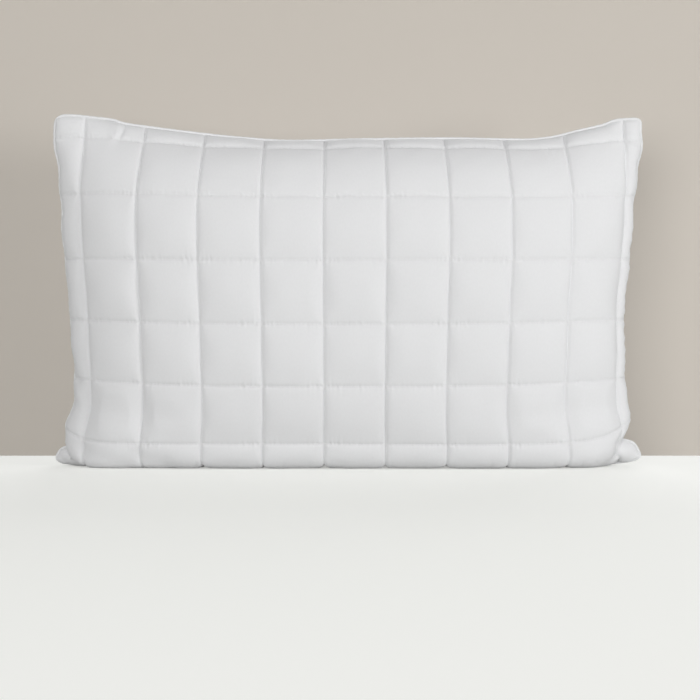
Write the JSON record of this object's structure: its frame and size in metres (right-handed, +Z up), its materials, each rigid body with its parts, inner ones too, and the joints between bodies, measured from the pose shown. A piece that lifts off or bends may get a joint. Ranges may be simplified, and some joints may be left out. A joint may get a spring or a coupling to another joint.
{
  "type": "bed pillow",
  "caption": "White rectangular bed pillow with a square-quilted cotton cover and a piped edge, standing on its long side.",
  "frame": {"origin": "on the surface the pillow stands on, under the middle of its width and of its loft", "axes": "+X along the pillow's long side, +Y through its loft towards the back panel, +Z up to the top seam"},
  "size_m": [0.7462, 0.1724, 0.4448],
  "materials": {
    "face_cloth": "smooth plain-woven cotton, faint satin sheen",
    "wadding": "lofty white needled fibre",
    "lining": "thin white non-woven backing",
    "filling": "loose white hollow fibre",
    "cord": "soft twisted cotton cord",
    "piping": "bias-cut plain-woven cotton",
    "thread": "white spun sewing thread",
    "label": "blank white satin ribbon"
  },
  "bodies": {
    "root": {"front_face_cloth": "face_cloth", "front_wadding": "wadding", "front_lining": "lining", "front_upright_stitching": "thread", "front_level_stitching": "thread", "back_face_cloth": "face_cloth", "back_wadding": "wadding", "back_lining": "lining", "back_upright_stitching": "thread", "back_level_stitching": "thread", "fibre_filling": "filling", "piping_cord": "cord", "piping_cover": "piping", "edge_seam_stitching": "thread", "closing_seam_stitching": "thread", "care_label": "label"}
  },
  "joints": []
}
